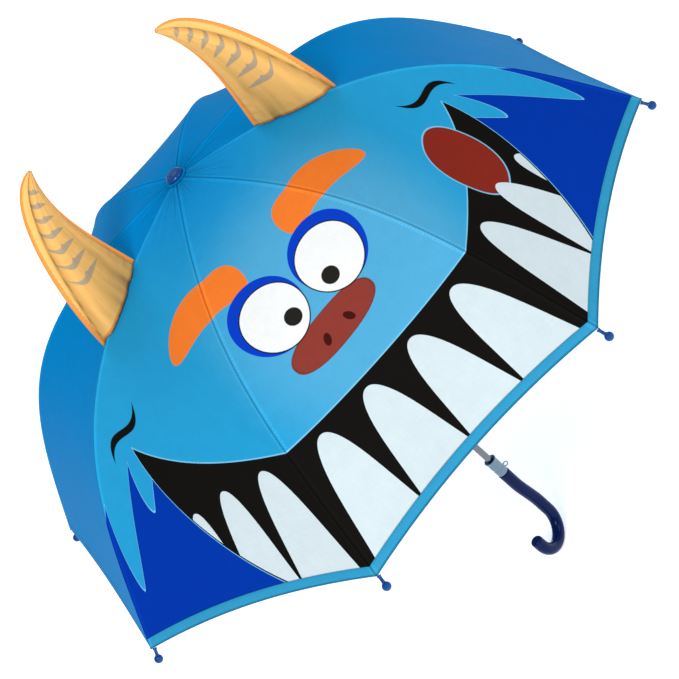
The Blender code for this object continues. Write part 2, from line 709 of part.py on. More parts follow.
def make_handle():
    sides, path = 16, handle_path()
    top = COLLAR_BOTTOM - GAP
    rings = []

    def ring(centre, way, radius):
        """A round section square to `way` in the (x, z) plane."""
        rings.append(
            [
                (
                    centre[0] - way[1] * radius * math.cos(t),
                    radius * math.sin(t),
                    centre[1] + way[0] * radius * math.cos(t),
                )
                for t in (math.tau * k / sides for k in range(sides))
            ]
        )

    flat = [Vector((x, top - depth)) for x, depth in path]
    for i, here in enumerate(flat):
        way = (flat[min(i + 1, len(flat) - 1)] - flat[max(i - 1, 0)]).normalized()
        ring(here, way, HANDLE_RADIUS)
    for i in range(1, 5):
        t = math.pi / 2 * i / 4.5
        ring(flat[-1] + way * HANDLE_RADIUS * math.sin(t), way, HANDLE_RADIUS * math.cos(t))
    bore = turned_plug(SHAFT_FIT, SHAFT_BOTTOM - GAP, top + GAP)
    pivot = (0.0, 0.0)
    place("handle", turned_about_shaft(cut(lofted(rings), bore), HANDLE_ANGLE), NAVY_PLASTIC, pivot)


def turned_about_shaft(mesh, turn):
    c, s = math.cos(turn), math.sin(turn)
    for corner in mesh.vertices:
        x, y, _ = corner.co
        corner.co.x, corner.co.y = c * x - s * y, s * x + c * y
    return mesh


def main():
    for item in list(bpy.data.objects):
        bpy.data.objects.remove(item)
    make_shaft()
    make_catches()
    make_crown()
    make_notch()
    make_runner()
    make_inner_ribs()
    make_outer_ribs()
    make_stretchers()
    make_tips()
    make_panels()
    make_horns()
    make_collar()
    make_handle()


main()
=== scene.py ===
"""Looks of the children's umbrella: the printed cloth dome, the padded horns, the moulded fittings,
the metalwork's finishes and the studio.  Metres, +Z up the shaft, in the frame's own place."""

import functools
import json
import math

import bmesh
import bpy
import numpy as np
from mathutils import Matrix, Vector


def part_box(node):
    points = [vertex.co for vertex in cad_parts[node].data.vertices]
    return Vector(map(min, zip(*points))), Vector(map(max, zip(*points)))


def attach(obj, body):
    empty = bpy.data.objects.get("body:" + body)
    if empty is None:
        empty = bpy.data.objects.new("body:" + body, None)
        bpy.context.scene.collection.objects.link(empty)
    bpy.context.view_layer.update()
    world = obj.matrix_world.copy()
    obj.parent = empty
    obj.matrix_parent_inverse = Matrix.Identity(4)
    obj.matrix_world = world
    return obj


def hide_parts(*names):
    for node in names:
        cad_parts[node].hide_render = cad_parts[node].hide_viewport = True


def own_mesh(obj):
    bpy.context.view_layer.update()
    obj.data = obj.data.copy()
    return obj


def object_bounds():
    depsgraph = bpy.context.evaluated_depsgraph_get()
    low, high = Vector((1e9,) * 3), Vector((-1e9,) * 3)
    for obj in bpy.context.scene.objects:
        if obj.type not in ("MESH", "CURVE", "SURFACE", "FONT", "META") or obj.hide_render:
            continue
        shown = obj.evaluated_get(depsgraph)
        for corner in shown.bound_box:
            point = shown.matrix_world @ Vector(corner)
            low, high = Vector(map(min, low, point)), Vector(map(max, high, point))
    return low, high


bl_info = {
    "name": "Children's umbrella looks",
    "version": (1, 0, 0),
    "blender": (4, 5, 0),
    "location": "3D View > Sidebar > Umbrella",
    "description": "Builds the cloth, horns, fittings, finishes and studio round the frame",
    "category": "Object",
}

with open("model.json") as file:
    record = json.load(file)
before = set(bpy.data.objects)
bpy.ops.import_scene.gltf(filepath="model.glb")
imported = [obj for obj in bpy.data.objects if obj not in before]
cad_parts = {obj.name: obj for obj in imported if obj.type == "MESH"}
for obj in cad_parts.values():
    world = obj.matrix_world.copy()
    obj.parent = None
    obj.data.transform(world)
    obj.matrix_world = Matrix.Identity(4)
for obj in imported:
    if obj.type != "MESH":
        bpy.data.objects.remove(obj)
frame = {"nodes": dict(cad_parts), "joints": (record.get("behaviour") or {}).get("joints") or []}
CAD_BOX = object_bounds()

# ---- places that the frame gives ----
RIBS = 8
FIRST_RIB_ANGLE = math.radians(22.5)
HALF_PANEL = math.pi / RIBS
SEAM_GAP = 0.0003  # the frame's panels stop this far from a rib's plane
RIB_ANGLES = [FIRST_RIB_ANGLE + math.tau * number / RIBS for number in range(RIBS)]

panel_low, panel_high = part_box("canopy_panel_1")
CROWN_Z = panel_high.z
HEM_Z = panel_low.z
HEM_RADIUS = (panel_high.x + SEAM_GAP * math.sin(HALF_PANEL)) / math.cos(HALF_PANEL)


def joint_place(name):
    """A joint's point as the frame's record gives it."""
    return Vector(next(j["pos_m"] for j in frame["joints"] if j["name"] == name))


JOINT = joint_place("outer_flex_1")
JOINT_RADIUS, JOINT_Z = math.hypot(JOINT.x, JOINT.y), JOINT.z


# ---- properties ----
def hex_colour(code):
    """A linear colour from its #rrggbb code."""
    parts = [int(code[i : i + 2], 16) / 255 for i in (1, 3, 5)]
    return tuple(c / 12.92 if c <= 0.04045 else ((c + 0.055) / 1.055) ** 2.4 for c in parts)


def maker(kind, **fixed):
    """Makes properties of one kind, each from its name, default and description."""

    def make(name, default, description):
        return kind(name=name, description=description, default=default, **fixed)

    return make


length = maker(bpy.props.FloatProperty, unit="LENGTH", precision=5)
share = maker(bpy.props.FloatProperty, min=0.0, max=1.0, subtype="FACTOR")
power = maker(bpy.props.FloatProperty, subtype="POWER")
strength = maker(bpy.props.FloatProperty, min=0.0)
count = maker(bpy.props.IntProperty, min=2)
pair = maker(bpy.props.FloatVectorProperty, size=2, precision=5)
triple = maker(bpy.props.FloatVectorProperty, size=3, precision=5)
dye = maker(bpy.props.FloatVectorProperty, size=3, min=0.0, max=1.0, subtype="COLOR")


def colour(name, code, description):
    return dye(name, hex_colour(code), description)


class CanopySizes(bpy.types.PropertyGroup):
    """The cloth dome's sizes."""

    crown_radius: length("Crown hole", 0.006, "Radius of the hole in the panels at the crown")
    shoulder_1: pair("Upper shoulder", (0.2384, 0.0186), "First handle's radius and depth")
    shoulder_2: pair("Lower shoulder", (0.2739, 0.0820), "Second handle's radius and depth")
    rib_depth: length("Rib depth", 0.0036, "A rib's centreline below the cloth's face")
    hem_rise: length("Hem rise", 0.011, "How far the hem is drawn up midway between two ribs")
    hem_fold: length("Hem fold", 0.0095, "Width of the hem's turned-up edge")
    tension: length("Tension sag", 0.0034, "How far the cloth is drawn in between two ribs")
    ridge: length("Seam ridge", 0.0005, "Height of the sewn seam over a rib")
    upper_rows: count("Upper rows", 44, "Rows of faces from the crown to the ribs' joints")
    lower_rows: count("Lower rows", 56, "Rows of faces from the ribs' joints to the hem")
    folded_width: share("Folded width", 0.18, "Share of its width that the cloth keeps when folded")


class PrintColours(bpy.types.PropertyGroup):
    """The colours of the cloth and its print, with a painted-highlight blue and a painted-shade
    blue.
    """

    cloth: colour("Cloth", "#269BD0", "Dyed cloth of the three front panels")
    # painted shade: this deeper blue is laid on the five rear panels and round the crown for the
    # shade they fall in
    plain: colour("Plain cloth", "#0088D2", "Deeper dye of the five panels with no print")
    hem: colour("Hem", "#3297C3", "Band along the hem")
    fur: colour("Fur", "#0436A6", "Dark patches in the outer corners")
    mouth: colour("Mouth", "#141311", "Inside of the mouth and thin strokes")
    teeth: colour("Teeth", "#CDDCE2", "Teeth")
    tongue: colour("Tongue", "#84291F", "Tongue")
    nose: colour("Nose", "#8A3A32", "Nose")
    brow: colour("Brow", "#F27D2E", "Brows")
    ring: colour("Eye ring", "#0B3DC2", "Ring round each eye")
    white: colour("Eye white", "#EEF1F2", "White of each eye")
    pupil: colour("Pupil", "#24231F", "Pupils")
    outline: colour("Outline", "#7CC6EA", "Thin pale line round the mouth")
    # painted highlight: a paler blue laid on the middle of the front panel where light gleams on
    # the cloth
    painted_highlight: colour("Wash", "#90CCE0", "Paler wash in the middle of the front")


class HornSizes(bpy.types.PropertyGroup):
    """The two padded horns."""

    start: share("Seat start", 0.13, "Where the seat starts along the dome curve")
    end: share("Seat end", 0.297, "Where the seat ends along the dome curve")
    tip: pair("Tip", (0.0865, 0.1217), "Tip's radius and height above the crown")
    back_1: pair("Back edge 1", (0.094, 0.033), "First handle of the inner edge")
    back_2: pair("Back edge 2", (0.109, 0.083), "Second handle of the inner edge")
    front_1: pair("Front edge 1", (0.162, 0.033), "First handle of the outer edge")
    front_2: pair("Front edge 2", (0.130, 0.133), "Second handle of the outer edge")
    thickness: length("Thickness", 0.023, "Padded thickness at the seat")
    flange: length("Flange", 0.0016, "Thickness of the sewn edge")
    crease: length("Crease", 0.0050, "Depth of the long crease down the middle")
    cloth: colour("Cloth", "#FFC56E", "Horn cloth")
    piping: colour("Piping", "#F7963C", "Sewn edges")
    band: colour("Band", "#A39C8E", "Curved grey bands")


class FittingSizes(bpy.types.PropertyGroup):
    """The moulded fittings."""

    tip_ball: length("Tip ball", 0.0042, "Radius of the ball on each rib's end")
    tip_reach: length("Tip reach", 0.0120, "Rib's end to the ball's centre")
    tip_stem: length("Tip stem", 0.0016, "Radius of the ball's stem")
    handle_radius: length("Handle radius", 0.0065, "Radius of the crook's section")
    handle_straight: length("Handle straight", 0.018, "Straight grip under the collar")
    handle_lean: length("Handle lean", 0.0041, "How far the grip leans away from the hook")
    handle_lean_length: length("Lean length", 0.042, "Length over which the grip leans")
    hook_depth: length("Hook depth", 0.0737, "Collar's lower end to the hook's centre")
    hook_radius: length("Hook radius", 0.0228, "Radius of the hook's centreline")
    hook_return: length("Hook return", 0.0065, "Straight end after the hook")
    hook_angle: bpy.props.FloatProperty(
        name="Hook angle",
        description="The way the hook points, from +X",
        default=math.radians(225),
        subtype="ANGLE",
    )
    collar_radius: length("Collar radius", 0.0061, "Radius of the collar's sleeve")
    collar_lip: length("Collar lip", 0.0067, "Radius of the collar's flared lip")
    loop_radius: length("Loop radius", 0.0024, "Radius of the collar's loop")
    loop_wire: length("Loop wire", 0.0006, "Half the loop's thickness")
    loop_rise: length("Loop rise", 0.0044, "Loop's centre above the collar's lower end")
    blue: colour("Blue plastic", "#06448A", "Crown cap and rib tips")
    navy: colour("Navy plastic", "#02184A", "Crook handle")
    grey: colour("Grey plastic", "#8AA5B6", "Collar")


class StudioSettings(bpy.types.PropertyGroup):
    """The floor, lights and camera."""

    camera_place: triple("Camera place", (-0.02244, -1.92929, 1.3429), "Camera's place")
    camera_turn: triple(
        "Camera turn", (1.9311, -0.8690, -0.5045), "World to camera, as an axis times its angle"
    )
    lens: bpy.props.FloatProperty(
        name="Lens",
        description="Focal length on a 36 mm sensor",
        default=122.36,
        subtype="DISTANCE_CAMERA",
    )
    floor: colour("Floor", "#FBFBFB", "Pale floor")
    floor_size: length("Floor size", 60.0, "Side of the floor")
    floor_glow: share("Floor glow", 0.62, "Light that the floor gives back, as a lit sweep does")
    floor_drop: length("Floor drop", 0.0005, "Gap under the handle's lowest point")
    sky: strength("Sky", 0.34, "Strength of the even light")
    key: power("Key", 54.0, "Main light's power")
    fill: power("Fill", 14.0, "Fill light's power")
    back: power("Back", 20.0, "Back light's power")


# ---- shader maths ----
class Amount:
    """A number inside a material, so that shader sums read as plain Python."""

    def __init__(self, finish, socket):
        self.finish, self.socket = finish, socket

    def math(self, operation, *others, first=None, clamp=False):
        inputs = dict(enumerate([self, *others] if first is None else [first, self]))
        return self.finish.node("Math", inputs, operation=operation, use_clamp=clamp)

    def __rsub__(self, other):
        return self.math("SUBTRACT", first=other)

    def inside(self, soft=0.0005):
        """1 where this distance is below 0, fading over `soft`."""
        return self.math("MULTIPLY_ADD", -1 / soft, 0.5, clamp=True)

    def fading(self, reach):
        """1 at 0, falling smoothly to 0 at `reach`."""
        settings = {"interpolation_type": "SMOOTHSTEP"}
        return self.finish.node("MapRange", {0: self, 1: 0.0, 2: reach, 3: 1.0, 4: 0.0}, **settings)


SUMS = {"__add__": "ADD", "__radd__": "ADD", "__sub__": "SUBTRACT", "__mul__": "MULTIPLY"}
SUMS |= {"__rmul__": "MULTIPLY", "__truediv__": "DIVIDE", "__pow__": "POWER"}
SUMS |= {"__abs__": "ABSOLUTE", "wave": "SINE", "step": "FLOOR", "part": "FRACT"}
SUMS |= {"least": "MINIMUM", "most": "MAXIMUM"}
for sign, operation in SUMS.items():
    setattr(Amount, sign, functools.partialmethod(Amount.math, operation))


class Finish:
    """One procedural material."""

    def __init__(self, name):
        self.material = bpy.data.materials.new(name)
        self.material.use_nodes = True
        self.tree = self.material.node_tree
        self.surface = self.tree.nodes["Principled BSDF"]

    def plug(self, socket, value):
        if isinstance(value, Amount):
            self.tree.links.new(value.socket, socket)
        elif socket.type == "RGBA":
            socket.default_value = (*value, 1.0)
        else:
            socket.default_value = value

    def node(self, kind, inputs=None, output=0, **settings):
        """A node of any kind: its settings first, then its inputs' values or links."""
        made = self.tree.nodes.new("ShaderNode" + kind)
        for name, value in settings.items():
            setattr(made, name, value)
        for slot, value in (inputs or {}).items():
            self.plug(made.inputs[slot], value)
        return Amount(self, made.outputs[output])

    def parts(self, vector):
        """A vector's three numbers."""
        made = self.tree.nodes.new("ShaderNodeSeparateXYZ")
        self.tree.links.new(vector.socket, made.inputs[0])
        return [Amount(self, socket) for socket in made.outputs]

    def attribute(self, name):
        """The three numbers of a vector kept on the mesh."""
        return self.parts(self.node("Attribute", output=1, attribute_name=name))

    def position(self):
        """A point's place on the piece, in metres."""
        return self.node("TexCoord", output=3)

    def vector(self, x, y, z=0.0):
        return self.node("CombineXYZ", {0: x, 1: y, 2: z})

    def noise(self, vector, scale, detail=2.0, roughness=0.5):
        inputs = {"Vector": vector, "Scale": scale, "Detail": detail, "Roughness": roughness}
        return self.node("TexNoise", inputs)

    def weave(self, u, v, spacing, height):
        """The small height of a plain weave, with its threads `spacing` apart."""
        turns = math.tau / spacing
        return (u * turns).wave() * (v * turns).wave() * height

    def over(self, factor, below, above):
        """`above` laid over `below` by a factor."""
        return self.node("Mix", {0: factor, 6: below, 7: above}, output=2, data_type="RGBA")

    def shaded(self, tint, factor):
        """A colour times a number."""
        return self.node("VectorMath", {0: tint, 3: factor}, operation="SCALE")

    def bump(self, height):
        """A height in metres, as a normal."""
        return self.node("Bump", {"Strength": 1.0, "Distance": 1.0, "Height": height})

    def set(self, **inputs):
        """The surface's own inputs, with _ for the spaces in their names."""
        for name, value in inputs.items():
            self.plug(self.surface.inputs[name.replace("_", " ")], value)
        return self.material


def stitches(along, across, spacing, sewn, line, half, soft):
    """1 on a row of stitches `spacing` apart; `sewn` is the thread's share of that."""
    dash = ((along / spacing).part() - sewn).inside(0.1)
    return dash * (abs(across - line) - half).inside(soft)


def oval(x, y, centre, half, tilt=0.0, power=2.0):
    """Roughly the distance to an oval's edge, below 0 inside it."""
    c, s = math.cos(tilt), math.sin(tilt)
    across, along = x - centre[0], y - centre[1]
    u = abs((across * c + along * s) / half[0])
    v = abs((along * c - across * s) / half[1])
    return ((u**power + v**power) ** (1 / power) - 1) * min(half)


# ---- the cloth's print ----
# Metres on the cloth, across from the front panel's middle and down from the crown.  A side counts
# panels from that middle.  An oval is its centre, half sizes, tilt and power.
HEM_BAND = 0.0100
PRINT_END = 1.5  # the side where the three printed panels end
TOOTH = 0.25  # width of a tooth, as a share of a panel
TOOTH_FILL = 0.955  # how far a tooth's foot fills its width
TONGUE = ((0.206, 0.3035), (0.0265, 0.0435), -0.32, 2.3)
EYE_RING = ((0.0375, 0.2255), (0.0355, 0.0400))
EYE_WHITE = ((0.0345, 0.2315), (0.0305, 0.0335))
PUPIL = ((0.0235, 0.2450), (0.0082, 0.0086))
NOSE = ((-0.007, 0.2790), (0.0480, 0.0170), -0.05, 2.4)
NOSTRIL = ((0.0135, 0.2830), (0.0034, 0.0058), -0.5)
NOSE_MIDDLE = 0.005  # how far left of the panel's middle the nostrils are centred
NOSE_RIM, NOSTRIL_TINT = (0.16, 0.03, 0.022), (0.055, 0.008, 0.006)
# the painted highlight on the front panel: its oval, how far it fades and how strongly it pales the
# cloth
HIGHLIGHT_SPOT, HIGHLIGHT_REACH, HIGHLIGHT_SHARE = ((0.030, 0.262), (0.070, 0.085)), 0.09, 0.24
THREAD, HORN_THREAD = 0.0009, 0.0010  # spacing of the threads in the two cloths


def teeth(side, s, top, edge):
    """Tall rounded teeth standing on the hem band."""
    beyond = (side - 0.53).most(0.0)
    spread = side.least(0.475) / 0.95 + beyond + 0.75 * beyond**3
    cell = (spread / TOOTH).step()
    off_middle = abs((spread / TOOTH).part() * 2 - 1) / TOOTH_FILL
    middle = cell * TOOTH + TOOTH / 2
    drop = 0.0085 + 0.09 * (middle - 0.5).most(0.0) ** 1.6
    standing = (edge - HEM_BAND).most(0.0)
    rise = standing / (standing + s - (top + drop)).most(0.001)
    slim = off_middle / (1 - 0.42 * rise.least(1.2))
    return (slim**2.2 + rise.least(1.5) ** 5 - 1) * 0.02


def face_print(ink, colours, p, s, half, edge):
    """The print's layers, laid over the plain cloth, which carries a painted highlight on the front
    panel and painted shade on the rear panels and round the crown.  `p` counts panels round the
    crown from the front one's middle, `s` runs down from the crown and `half` is half a panel's
    width there."""
    side = abs(p)
    x = side * 2 * half
    across = p * 2 * half
    squared = side * side
    top = 0.328 - 0.0175 * squared - 0.012 * squared * squared
    lip = 0.432 - 0.372 * (side - 0.82) + 0.28 * (side - 0.82) * (1.285 - side)
    tufts = 1 - abs(((side + 0.25 * (0.37 - s) - 0.0575) / 0.17).part() * 2 - 1)
    fur_line = 0.300 + 0.35 * (side - 1.15) - (0.076 + 0.19 * (side - 1.31)) * tufts**1.35
    fur_edge = (fur_line - s).most(side - PRINT_END).most(lip - s)
    mouth_edge = (top - s).most(s - lip).most(side - 1.33)
    mouth = mouth_edge.inside()
    outline = (mouth_edge - 0.0012).inside(0.0008)

    tongue_edge = oval(across, s, *TONGUE)
    bite = teeth(side, s, top, edge).most(mouth_edge + 0.0022).inside()

    beside = x - 0.2440
    bend = s - 0.2525 - 0.16 * beside - 550 * beside * beside * beside
    cheek = (abs(bend) - 0.0034 * (1 - abs(beside / 0.033) ** 4)).inside()

    brow_middle = 0.1645 + 0.165 * (side - 0.45) ** 2
    brow_half = 0.0200 + 0.016 * abs(side - 0.45)
    brow = abs((s - brow_middle) / brow_half) ** 2.2 + abs((side - 0.545) / 0.360) ** 6
    brow = (brow - 1) * 0.008
    ring, white, pupil = (oval(x, s, *shape) for shape in (EYE_RING, EYE_WHITE, PUPIL))
    nose = oval(across, s, *NOSE)
    nostril = oval(abs(across + NOSE_MIDDLE), s, *NOSTRIL)

    front = (side - 1.6).inside(0.01)
    layers = (
        ((fur_edge - 0.0016).inside(0.0010), colours.outline),
        (fur_edge.inside(0.0008), colours.fur),
        (outline, colours.outline),
        (mouth, colours.mouth),
        ((tongue_edge - 0.0010).inside(), colours.outline),
        (tongue_edge.inside(), colours.tongue),
        (bite, colours.teeth),
        (cheek, colours.mouth),
        (brow.inside(), colours.brow),
        ((nose - 0.0006).inside(), NOSE_RIM),
        (nose.inside(), colours.nose),
        (nostril.inside(), NOSTRIL_TINT),
        (ring.inside(), colours.ring),
        ((white - 0.0011).inside(), colours.mouth),
        (white.inside(), colours.white),
        (pupil.inside(), colours.pupil),
    )
    # painted highlight: the front panel pales towards the middle of this oval
    painted_highlight = oval(across, s, *HIGHLIGHT_SPOT).fading(HIGHLIGHT_REACH)
    # painted shade: the rear panels and the cloth round the crown are laid over with the deeper
    # blue
    plain = (PRINT_END - side).inside(0.004)
    tint = ink.over(painted_highlight * HIGHLIGHT_SHARE, colours.cloth, colours.painted_highlight)
    tint = ink.over(plain.most(0.75 * s.fading(0.19)), tint, colours.plain)
    for mask, above in layers:
        tint = ink.over(mask * front, tint, above)
    return tint


def cloth_finish(colours):
    """Printed, woven canopy cloth with sewn seams and a stitched hem, with painted shade and
    highlight along the seams and painted shade towards the crown.
    """
    ink = Finish("printed_canopy_cloth")
    p, s, half = ink.attribute("print")
    edge, seam, fold = ink.attribute("trim")
    across = p * 2 * half
    cloth_place = ink.vector(across, s)
    slow = ink.noise(cloth_place, 7.0, 3.0)
    band = (edge - HEM_BAND).inside().most(fold)

    tint = face_print(ink, colours, p, s, half, edge)
    tint = ink.over(band * (abs(p) - PRINT_END).inside(0.004), tint, colours.hem)
    border = (abs(edge - HEM_BAND) - 0.0005).inside()
    lower = (edge - 0.0016).inside(0.0008)
    stitch = stitches(s, seam, 0.0032, 0.62, 0.0024, 0.00035, 0.0003)
    hem_stitch = stitches(across, edge, 0.0034, 0.62, 0.0085, 0.0004, 0.0003)
    # painted shade in the fold over each seam, and a painted highlight on the cloth beside it
    seam_fold_shade = (seam - 0.0008).inside(0.0006)
    beside = (abs(seam - 0.0024) - 0.0010).inside(0.0012)
    mottle = ink.noise(cloth_place, 60.0, 4.0, 0.6)
    warp = ink.noise(ink.vector(across * 900, s * 90), 1.0, 3.0)
    weft = ink.noise(ink.vector(across * 90, s * 900), 1.0, 3.0)
    slub = warp + weft
    tone = (
        (0.92 + 0.16 * slow)
        * (0.94 + 0.12 * mottle)
        * (0.90 + 0.10 * slub)
        # painted shade over the seams and painted highlight beside them
        * (1 - 0.34 * seam_fold_shade)
        * (1 + 0.30 * beside)
        * (1 - 0.45 * lower)
        * (1 - 0.35 * border)
        # painted shade: darker towards the crown
        * (1 - 0.10 * s.fading(0.05))
        * (1 - 0.25 * stitch)
        * (1 - 0.16 * hem_stitch)
    )

    ripple = ink.noise(ink.vector(s * 95, p * 3), 1.0, 2.0) - 0.5
    hem_ripple = ink.noise(ink.vector(across * 80, edge * 12), 1.0, 2.0) - 0.5
    gathers = ink.noise(ink.vector(p * 9, s * 14), 1.0, 2.0) - 0.5
    height = (
        ink.weave(across, s, THREAD, 0.000008)
        + 0.0024 * (slow - 0.5)
        + 0.00004 * slub
        + 0.0017 * ripple * seam.fading(0.022)
        + 0.0011 * hem_ripple * edge.fading(0.026)
        + 0.0040 * gathers * s.fading(0.095)
        - 0.00012 * stitch
        - 0.00012 * hem_stitch
        + 0.0003 * band
    )
    return ink.set(
        Base_Color=ink.shaded(tint, tone),
        Roughness=0.44 + 0.14 * slow,
        Normal=ink.bump(height),
        Specular_IOR_Level=0.006,
    )


# ---- meshes ----
def grid_faces(rows, columns, closed=False):
    """Faces of a grid of points; `closed` joins each row's end to its start."""
    faces = []
    for i in range(rows - 1):
        for j in range(columns if closed else columns - 1):
            k = (j + 1) % columns
            here, below = i * columns, (i + 1) * columns
            faces.append((here + j, below + j, below + k, here + k))
    return faces


def loop_faces(rows, columns):
    """Faces of a grid of points closed both ways, as on a ring."""
    last = (rows - 1) * columns
    ends = [(last + j, j, (j + 1) % columns, last + (j + 1) % columns) for j in range(columns)]
    return grid_faces(rows, columns, closed=True) + ends


def mesh_piece(name, points, faces, finish):
    """A smooth-shaded object from points and faces."""
    mesh = bpy.data.meshes.new(name)
    mesh.from_pydata([tuple(p) for p in np.asarray(points).reshape(-1, 3)], [], faces)
    mesh.materials.append(finish)
    mesh.shade_smooth()
    piece = bpy.data.objects.new(name, mesh)
    bpy.context.collection.objects.link(piece)
    return piece


def note(piece, name, values):
    """Keeps one vector for each point of a piece, for its material."""
    kept = piece.data.attributes.new(name, "FLOAT_VECTOR", "POINT")
    kept.data.foreach_set("vector", np.asarray(values, np.float32).reshape(-1))


def turned_points(outline, sides):
    """Points of a turned form from an outline of (radius, height)."""
    angles = np.arange(sides) * math.tau / sides
    outline = np.array(outline)
    r, z = outline[:, :1], outline[:, 1:]
    return np.stack([r * np.cos(angles), r * np.sin(angles), z + 0 * angles], -1)


def turned(name, outline, sides, finish):
    """A turned form; an end of the outline on the axis is closed to a point."""
    points = turned_points(outline, sides)
    return weld(mesh_piece(name, points, grid_faces(len(outline), sides, closed=True), finish))


def weld(piece):
    """Joins points that lie together and turns the faces outwards."""
    shape = bmesh.new()
    shape.from_mesh(piece.data)
    bmesh.ops.remove_doubles(shape, verts=shape.verts, dist=1e-6)
    bmesh.ops.recalc_face_normals(shape, faces=shape.faces)
    shape.to_mesh(piece.data)
    shape.free()
    piece.data.shade_smooth()
    return piece


def rounded(corners, radius, steps=5):
    """An outline whose inner corners are rounded by arcs."""
    points = [corners[0]]
    for before, here, after in zip(corners, corners[1:], corners[2:]):
        here = Vector(here)
        a, b = Vector(before) - here, Vector(after) - here
        reach = min(radius, a.length / 2, b.length / 2)
        a, b = here + a.normalized() * reach, here + b.normalized() * reach
        for i in range(steps + 1):
            t = i / steps
            points.append(tuple(a.lerp(here, t).lerp(here.lerp(b, t), t)))
    points.append(corners[-1])
    return points


def bezier(handles, t):
    """Points of a curve between the first and the last of its four handles."""
    a, b, c, d = (np.asarray(h, float) for h in handles)
    t = np.asarray(t, float)[..., None]
    p = 1 - t
    return p**3 * a + 3 * p * p * t * b + 3 * p * t * t * c + t**3 * d


def bell(x, centre, width):
    """1 at `centre`, falling smoothly to 0 on both sides."""
    return np.exp(-(((x - centre) / width) ** 2))


def turn_about_z(points, angle):
    c, s = math.cos(angle), math.sin(angle)
    return np.asarray(points) @ np.array([[c, s, 0], [-s, c, 0], [0, 0, 1]])


class Dome:
    """The cloth's face over a rib, as a curve of radius and height."""

    def __init__(self, sizes):
        lift = np.array([0.0, CROWN_Z])
        one, two = np.array(sizes.shoulder_1), np.array(sizes.shoulder_2)
        flip = np.array([1.0, -1.0])
        crown, hem = (sizes.crown_radius, CROWN_Z), (HEM_RADIUS, HEM_Z)
        self.handles = [crown, one * flip + lift, two * flip + lift, hem]
        self.table = np.linspace(0.0, 1.0, 2001)
        steps = np.diff(self.point(self.table), axis=0)
        self.run = np.concatenate([[0.0], np.cumsum(np.hypot(*steps.T))])

    def point(self, q):
        """The curve's point at `q`, from 0 at the crown to 1 at the hem."""
        return bezier(self.handles, q)

    def speed(self, q):
        q = np.asarray(q, float)[..., None]
        a, b, c, d = (np.asarray(h) for h in self.handles)
        p = 1 - q
        return 3 * (p * p * (b - a) + 2 * p * q * (c - b) + q * q * (d - c))

    def way(self, q):
        speed = self.speed(q)
        return speed / np.linalg.norm(speed, axis=-1, keepdims=True)

    def below(self, q, depth):
        """A point `depth` below the cloth's face."""
        way = self.way(q)
        return self.point(q) + depth * np.stack([way[..., 1], -way[..., 0]], -1)

    def length(self, q):
        return np.interp(q, self.table, self.run)

    def cloth(self, q, w):
        """A point of the ruled cloth; w is 0 over the rib and 1 or -1 midway to the next."""
        r, z = np.moveaxis(self.point(q), -1, 0)
        sine, cosine = math.sin(HALF_PANEL), math.cos(HALF_PANEL)
        return np.stack([r * (1 - np.abs(w) * sine**2), w * r * sine * cosine, z], -1)

    def outwards(self, q, w):
        """The cloth's outward direction, rounded over the seam."""
        dr, dz = np.moveaxis(self.way(q), -1, 0)
        turn = HALF_PANEL * np.clip(w / 0.02, -1, 1)
        way = np.stack([-dz * np.cos(turn), -dz * np.sin(turn), dr * math.cos(HALF_PANEL)], -1)
        return way / np.linalg.norm(way, axis=-1, keepdims=True)


# columns of points from a rib to midway to the next, closest together beside the seam
ACROSS = (0, 0.006, 0.012, 0.02, 0.032, 0.055, 0.09, 0.14)
ACROSS += (0.2, 0.27, 0.35, 0.44, 0.54, 0.65, 0.76, 0.88, 1)
SEAM_HALF = 0.0016  # half the width of the ridge over a seam
HEM_TURN = 0.0005  # radius of the hem's turned-up edge


def first_at_plane(dome, w, spot, way):
    """Where the cloth crosses the plane through `spot` square to `way`, in the rib's plane."""
    low, high = np.zeros_like(w), np.ones_like(w)
    for _ in range(40):
        middle = (low + high) / 2
        x, _, z = np.moveaxis(dome.cloth(middle, w), -1, 0)
        past = (x - spot[0]) * way[0] + (z - spot[1]) * way[1] > 0
        low, high = np.where(past, low, middle), np.where(past, middle, high)
    return low


